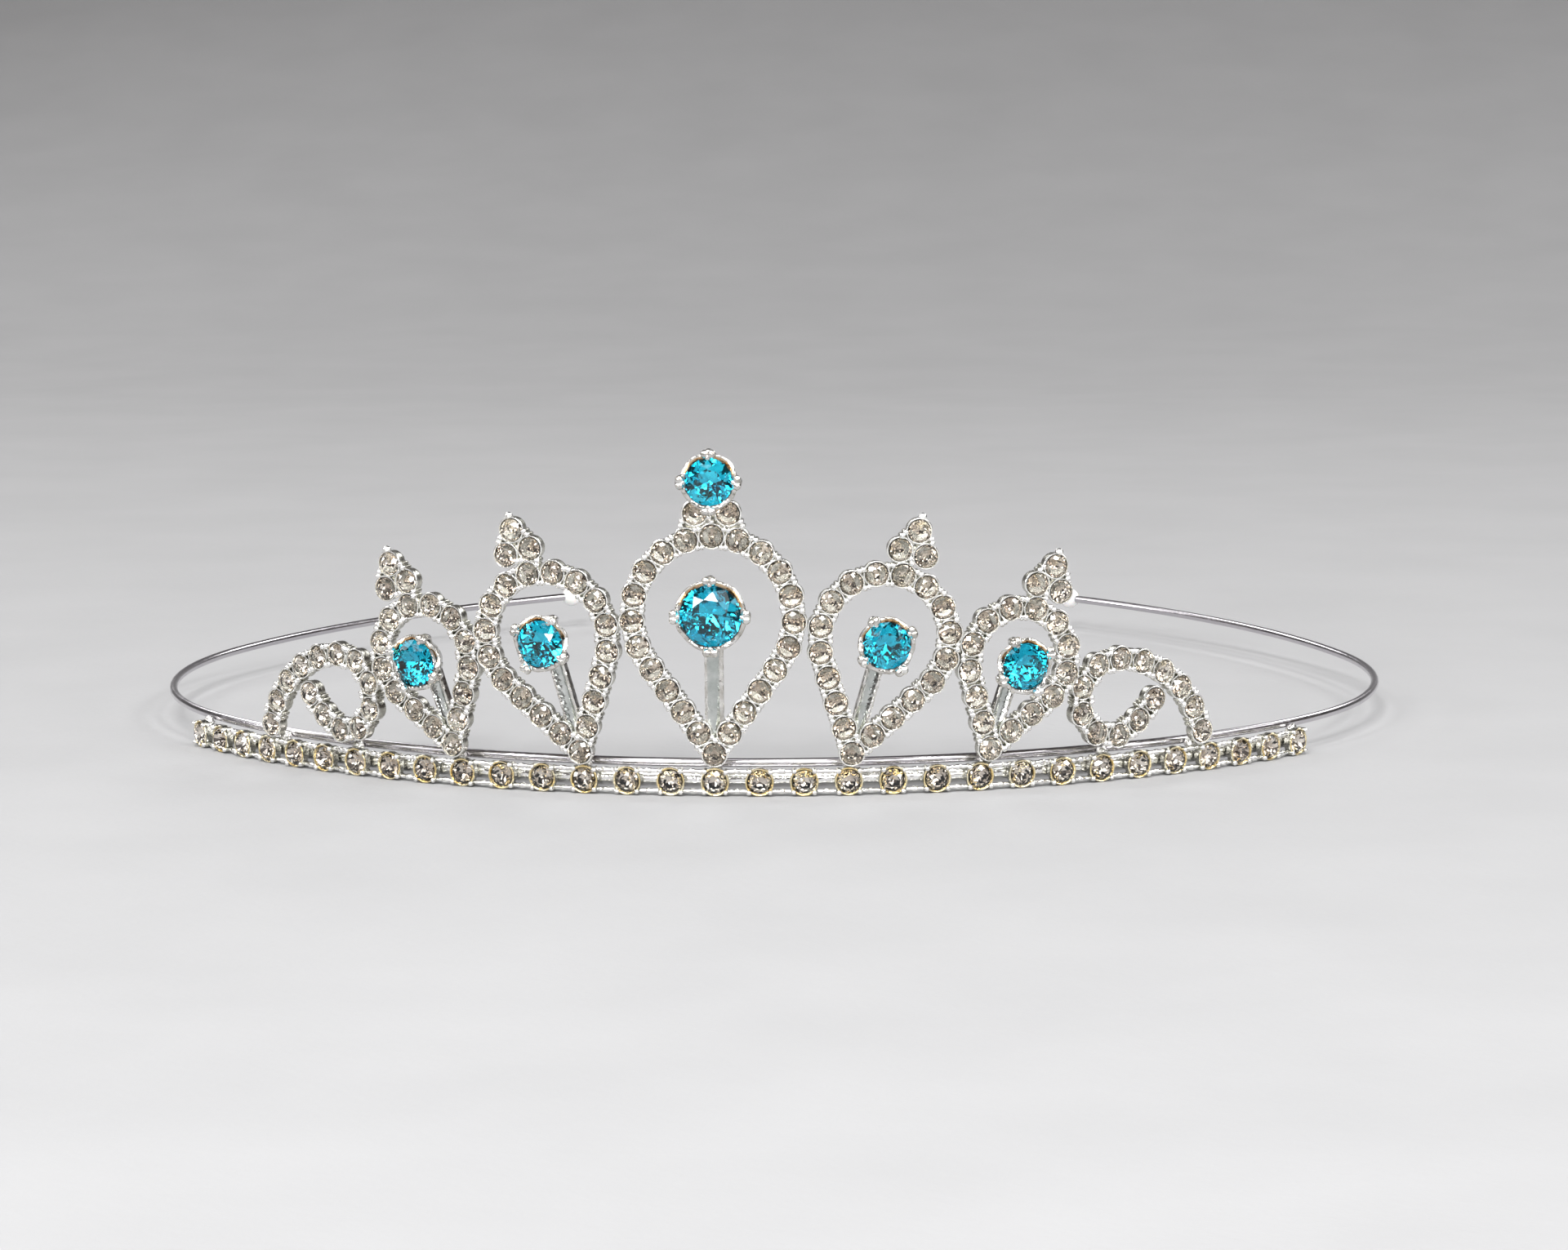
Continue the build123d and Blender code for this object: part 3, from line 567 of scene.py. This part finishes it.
def claw_turn(node, here, reach):
    """Angle of the first claw of a crown, from its points that stand furthest out."""
    inverse = here.inverted()
    sines = cosines = 0.0
    for vertex in nodes[node].data.vertices:
        local = inverse @ vertex.co
        if math.hypot(local.x, local.y) > reach * MM:
            angle = 4 * math.atan2(local.y, local.x)
            sines, cosines = sines + math.sin(angle), cosines + math.cos(angle)
    return math.atan2(sines, cosines) / 4


def add_crown(name, crown_node, stone_node, seed, lobe):
    """Tapered basket with a rolled, scalloped rim and four claws that end in cast lobes."""
    rng = random.Random(seed)
    place, axis, radius = girdles(stone_node, BLUE_CROWN)[0]
    radius /= MM
    here = face_frame(place, axis)
    here = face_frame(place, axis, claw_turn(crown_node, here, radius + 0.7))
    back, base, rim = CROWN_BACK, CROWN_FOOT * radius, radius + CROWN_RIM
    bm = bmesh.new()
    rings, upper, count = [], [], 112
    for step in range(count):
        angle = 2 * math.pi * step / count
        off = (angle % (math.pi / 2) - math.pi / 4) * rim   # from the middle of a scallop
        dip = 0.0
        if abs(off) < SCALLOP_HALF:
            dip = max(0.0, math.sqrt(SCALLOP_RADIUS ** 2 - off * off) - SCALLOP_CENTRE)
        top = 0.15 - dip + 0.03 * math.sin(angle * 20 + seed)
        lip = 0.05 * noise.noise(Vector((math.cos(angle) * 3, math.sin(angle) * 3, seed * 5.3)))
        section = [(base - 0.40, back + 0.02), (base - 0.10, back), (base, back + 0.08),
                   (base + (rim - base) * 0.5, back * 0.52 + 0.1), (rim - 0.06, top - 0.45),
                   (rim + 0.02 + lip, top - 0.26), (rim + 0.06 + lip, top - 0.10),
                   (rim - 0.02 + lip, top + 0.03), (rim - 0.17, top + 0.07),
                   (radius + 0.06, top + 0.02), (radius + 0.03, min(top, 0.0) - 0.12),
                   (radius - 0.25, -0.62), (base - 0.36, back * 0.55)]
        spin = Matrix.Rotation(angle, 4, "Z")
        rings.append([bm.verts.new(here @ spin @ (Vector((r, 0, z)) * MM)) for r, z in section])
        # Rim sections that face upwards; only these take the painted brown reflection.
        upper.append((here.to_3x3() @ spin.to_3x3()).col[0].z > 0.3)
    for index, ahead in enumerate(rings):
        behind = rings[index - 1]
        for k in range(len(ahead)):
            after = (k + 1) % len(ahead)
            face(bm, [behind[k], behind[after], ahead[after], ahead[k]],
                 PAINTED_REFLECTION if upper[index] and k in (8, 9, 10) else BODY)
    slope_top = 0.04 + BLUE_CROWN * radius / 2
    for quarter in range(4):
        arm = here @ Matrix.Rotation(math.pi / 2 * quarter, 4, "Z")
        sweep(bm, arm, [((base + 0.02, 0, back + 0.15), 0.30, 0.14),
                        ((base + (rim - base) * 0.5, 0, back * 0.5), 0.34, 0.20),
                        ((rim + 0.10, 0, -0.75), 0.38, 0.26), ((rim + 0.20, 0, -0.25), 0.42, 0.30),
                        ((rim + 0.20, 0, 0.18), 0.42, 0.30),
                        ((radius + 0.40, 0, slope_top), 0.38, 0.28),
                        ((radius + 0.12, 0, slope_top + 0.14), 0.30, 0.22)])
        for offset in (-lobe, lobe):
            spot = (radius + 0.46 + rng.uniform(-0.04, 0.04), offset + rng.uniform(-0.04, 0.04),
                    slope_top + 0.10)
            bead(bm, arm, spot, rng.uniform(0.42, 0.46), (1, 1, 0.95), BODY, 3)
        bead(bm, arm, (radius + 0.56, rng.uniform(-0.05, 0.05), slope_top - 0.18), 0.38,
             (1, 1.2, 1), BODY, 3)
        bead(bm, arm, (radius + 0.12, rng.uniform(-0.05, 0.05), slope_top + 0.16), 0.30,
             (1.1, 0.9, 0.8), BODY, 3)
    finish_piece(bm, name, [crown_silver, brown_reflection_paint], crown_node, 50)


# Section of a stem as (share of its half width, height in millimetres), and its levels.
STEM_SHAPE = [(-1.0, -1.21), (1.0, -1.21), (1.0, -0.58), (0.95, -0.45), (0.78, -0.42),
              (0.56, -0.52), (0.34, -0.74), (0.0, -0.80), (-0.40, -0.74), (-0.70, -0.52),
              (-0.84, -0.42), (-0.96, -0.45), (-1.0, -0.58)]
STEM_LIP, STEM_TOP = -0.6, -0.42    # the lips start above one and stay below the other
TROUGH_BANDS = range(5, 9)
STEM_START, STEM_OVERLAP = 1.32, 0.35   # from the loop's tip, and into the crown's back


def along_face(loop_node, blue_node):
    """Middle of a loop's lowest stone, its axis, the way from it to a blue stone, and that
    stone's radius."""
    tip, axis, _ = min(girdles(loop_node, CLEAR_CROWN), key=lambda stone: stone[0].z)
    blue, _, radius = girdles(blue_node, BLUE_CROWN)[0]
    rise = blue - tip
    return tip, axis, rise - axis * rise.dot(axis), radius


def add_stem(name, stem_node, blue_node, loop_node, width, seed):
    """Gutter-shaped bar from a loop's tip to its crown, with a smooth trough and cast lips."""
    rng = random.Random(seed)
    tip, axis, rise, radius = along_face(loop_node, blue_node)
    length = rise.length / MM
    up = rise.normalized()
    side = up.cross(axis)
    here = Matrix.Translation(tip) @ Matrix((side, up, axis)).transposed().to_4x4()
    half, start, end = width / 2, STEM_START, length - CROWN_FOOT * radius / MM + STEM_OVERLAP
    bm = bmesh.new()
    rings, count = [], 56
    for step in range(count + 1):
        along = start + (end - start) * step / count
        points = []
        for index, (x, z) in enumerate(STEM_SHAPE):
            wander = noise.noise(Vector((index * 1.7 + seed * 9.1, along * 1.6, 0.0)))
            if z > STEM_LIP:
                z = min(z + 0.035 * (wander + rng.uniform(-1, 1)), STEM_TOP)
            else:
                z += 0.012 * wander
            local = Vector((x * half * (1 + 0.03 * wander), along, z)) * MM
            points.append(bm.verts.new(here @ local))
        rings.append(points)
    # The trough bands take the darker metal as painted shade.
    for low, high in zip(rings, rings[1:]):
        for k in range(len(low)):
            after = (k + 1) % len(low)
            face(bm, [low[k], low[after], high[after], high[k]],
                 TROUGH if k in TROUGH_BANDS else BODY)
    face(bm, rings[0], BODY)
    face(bm, rings[-1], BODY)
    finish_piece(bm, name, [crown_silver, trough], stem_node, 55)


# ---------------------------------------------------------------- solder and kept nodes
def add_solder(name, node):
    """The solder joints with softened edges and small lumps, a little inside the CAD's."""
    voxel, passes, sink, lump_rate = 0.09, 3, 0.25, 1.8     # millimetres, and per millimetre
    source = nodes[node].data.copy()
    source.transform(Matrix.Scale(1 / MM, 4))
    work = bpy.data.objects.new("cast_work", source)
    scene.collection.objects.link(work)
    remesh = work.modifiers.new("remesh", "REMESH")
    remesh.mode = "VOXEL"
    remesh.voxel_size = voxel
    remesh.adaptivity = 0.0
    smooth = work.modifiers.new("smooth", "SMOOTH")
    smooth.factor = 0.5
    smooth.iterations = passes
    graph = bpy.context.evaluated_depsgraph_get()
    mesh = bpy.data.meshes.new_from_object(work.evaluated_get(graph))
    bpy.data.objects.remove(work)
    bm = bmesh.new()
    bm.from_mesh(mesh)
    shift = Vector((7.3, 3.1, 1.7)) * SOLDER_SEED
    for vertex in bm.verts:
        swell = noise.noise(vertex.co * lump_rate + shift)
        vertex.co -= vertex.normal * (0.5 - 0.5 * swell) * sink
    bmesh.ops.transform(bm, matrix=Matrix.Scale(MM, 4), verts=bm.verts)
    finish_piece(bm, name, [solder], node, 60)


def keep_node(node, material):
    """A CAD node that stays as it is, with a better finish."""
    data = nodes[node].data
    data.materials.clear()
    data.materials.append(material)


# ---------------------------------------------------------------- base row
BASE_PROFILE = [(0, -0.89), (1.10, -0.89), (1.36, -0.82), (1.455, -0.62), (1.465, -0.05),
                (1.46, 0.05), (1.42, 0.11), (1.36, 0.12), (1.30, 0.09), (1.245, -0.03),
                (1.0, -0.22), (0.0, -0.72)]
BASE_RIM_BANDS = range(5, 9)
BASE_POST_PROFILE = [(0, -0.88), (0.2, -0.86), (0.27, -0.75), (0.26, 0.05), (0.2, 0.16),
                     (0, 0.2)]
BASE_CLAW_REACH = 1.5       # millimetres from the middle of a cup


def add_base_cups():
    """Shallow cups with a gilt rim, a rolled edge and four corner claws with grains."""
    rng = random.Random(BASE_CUP_SEED)
    bm = bmesh.new()
    for place, axis, _ in girdles("base_row_stones", CLEAR_CROWN):
        here = face_frame(place, axis)
        lathe(bm, here, BASE_PROFILE, 32, BASE_RIM_BANDS)
        for quarter in range(4):
            angle = math.radians(45 + 90 * quarter + rng.uniform(-3, 3))
            x, y = BASE_CLAW_REACH * math.cos(angle), BASE_CLAW_REACH * math.sin(angle)
            post = Matrix.Translation(Vector((x, y, 0)) * MM)
            lathe(bm, here @ post, BASE_POST_PROFILE, 10)
            bead(bm, here, (x, y, 0.2), rng.uniform(0.25, 0.28), (1, 1, 0.95), GRAIN)
    # Cup walls and posts in the darkened silver as painted shade; grains in bright silver, rims
    # gilt.
    finish_piece(bm, "base_cups", [silver, bright_silver, gilt],
                 "base_row_cups", 38)


def add_arm(name, node, material):
    """The free arm as one smooth tube, copied from its node."""
    source = nodes[node].data
    bm = bmesh.new()
    points = [bm.verts.new(v.co) for v in source.vertices]
    for polygon in source.polygons:
        bm.faces.new([points[v] for v in polygon.vertices])
    bmesh.ops.remove_doubles(bm, verts=bm.verts, dist=1e-7)
    piece = finish_piece(bm, name, [material], node, 50, None)
    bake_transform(piece)


# ---------------------------------------------------------------- floor
FLOOR_FRONT, FLOOR_BEND, FLOOR_RADIUS, FLOOR_TOP = -2.5, 0.45, 1.1, 2.4     # metres


def add_studio_floor():
    """Pale paper sweep: flat under the tiara, then curving up far behind it."""
    bm = bmesh.new()
    profile = [(FLOOR_FRONT, 0.0), (0.0, 0.0), (FLOOR_BEND, 0.0)]
    steps = 16
    for step in range(1, steps + 1):
        angle = math.pi / 2 * step / steps
        profile.append((FLOOR_BEND + FLOOR_RADIUS * math.sin(angle),
                        FLOOR_RADIUS * (1 - math.cos(angle))))
    profile.append((FLOOR_BEND + FLOOR_RADIUS, FLOOR_TOP))
    rows = [[bm.verts.new((x, y, z)) for x in (-2.5, -0.8, 0.0, 0.8, 2.5)] for y, z in profile]
    for low, high in zip(rows, rows[1:]):
        for k in range(len(low) - 1):
            bm.faces.new([low[k], low[k + 1], high[k + 1], high[k]])
    mesh = bpy.data.meshes.new("paper_sweep")
    bm.to_mesh(mesh)
    bm.free()
    mesh.materials.append(floor_paper("pale_paper"))
    mesh.shade_smooth()
    paper = bpy.data.objects.new("paper_sweep", mesh)
    scene.collection.objects.link(paper)


# ---------------------------------------------------------------- putting the tiara together
add_camera()
add_studio()
add_studio_floor()

add_stones("base_stones", "base_row_stones", CLEAR_TABLE, CLEAR_CROWN, BASE_PAVILION,
           [clear_glass, foil], BASE_STONE_SEED)
add_base_cups()

# Each casting's stones, its frame, and the stones of its neighbours.
motifs = {"centre_loop": ("centre_loop_stones", "centre_loop_frame",
                          ["mid_loop_stones_left", "mid_loop_stones_right"])}
for side in SIDES:
    motifs[f"mid_loop_{side}"] = (f"mid_loop_stones_{side}", f"mid_loop_frame_{side}",
                                  ["centre_loop_stones", f"outer_loop_stones_{side}"])
    motifs[f"outer_loop_{side}"] = (f"outer_loop_stones_{side}", f"outer_loop_frame_{side}",
                                    [f"mid_loop_stones_{side}", f"scroll_stones_{side}"])
    motifs[f"scroll_{side}"] = (f"scroll_stones_{side}", f"scroll_frame_{side}",
                                [f"outer_loop_stones_{side}"])

for turn, (name, (stone_node, frame_node, around)) in enumerate(motifs.items()):
    add_stones(f"{name}_clear_stones", stone_node, CLEAR_TABLE, CLEAR_CROWN, CLEAR_PAVILION,
               [clear_glass, foil], CLEAR_STONE_SEED + turn)
    peak = None
    if name.startswith(("mid", "outer")):
        _, axis, rise, _ = along_face(stone_node, name.replace("loop", "blue_stone"))
        summit = max(girdles(stone_node, CLEAR_CROWN), key=lambda stone: stone[0].z)[0]
        peak = summit + rise.normalized() * PEAK_RISE * MM - axis * PEAK_SINK * MM
    add_casting(f"{name}_casting", stone_node, frame_node, around, CASTING_SEED + turn, peak,
                name == "centre_loop")

blues = ["centre", "top"] + [f"{motif}_{side}" for motif in ("mid", "outer") for side in SIDES]
for turn, name in enumerate(blues):
    group, _, side = name.partition("_")
    ending = f"_{side}" if side else ""
    blue_node = f"{group}_blue_stone{ending}"
    lobe, width = (0.24, 1.7) if side else (0.33, 1.9)
    add_stones(f"{name}_blue_brilliant", blue_node, BLUE_TABLE, BLUE_CROWN, BLUE_PAVILION,
               [blue_glass, blue_foil], BLUE_STONE_SEED + turn)
    add_crown(f"{name}_crown_cast", f"{group}_crown{ending}", blue_node, turn, lobe)
    if group != "top":
        add_stem(f"{name}_stem_cast", f"{group}_stem{ending}", blue_node,
                 f"{group}_loop_stones{ending}", width, STEM_SEED + turn)

add_solder("solder_beads", "solder_joints")
keep_node("base_rail", bright_silver)
keep_node("base_row_links", bright_silver)
keep_node("headband_front", steel)

for side, sign in zip(SIDES, (-1, 1)):
    add_arm(f"arm_wire_{side}", f"headband_arm_{side}", steel)

pearl_material = pearl("ball_tip")
for side in SIDES:
    keep_node(f"ball_tip_{side}", pearl_material)
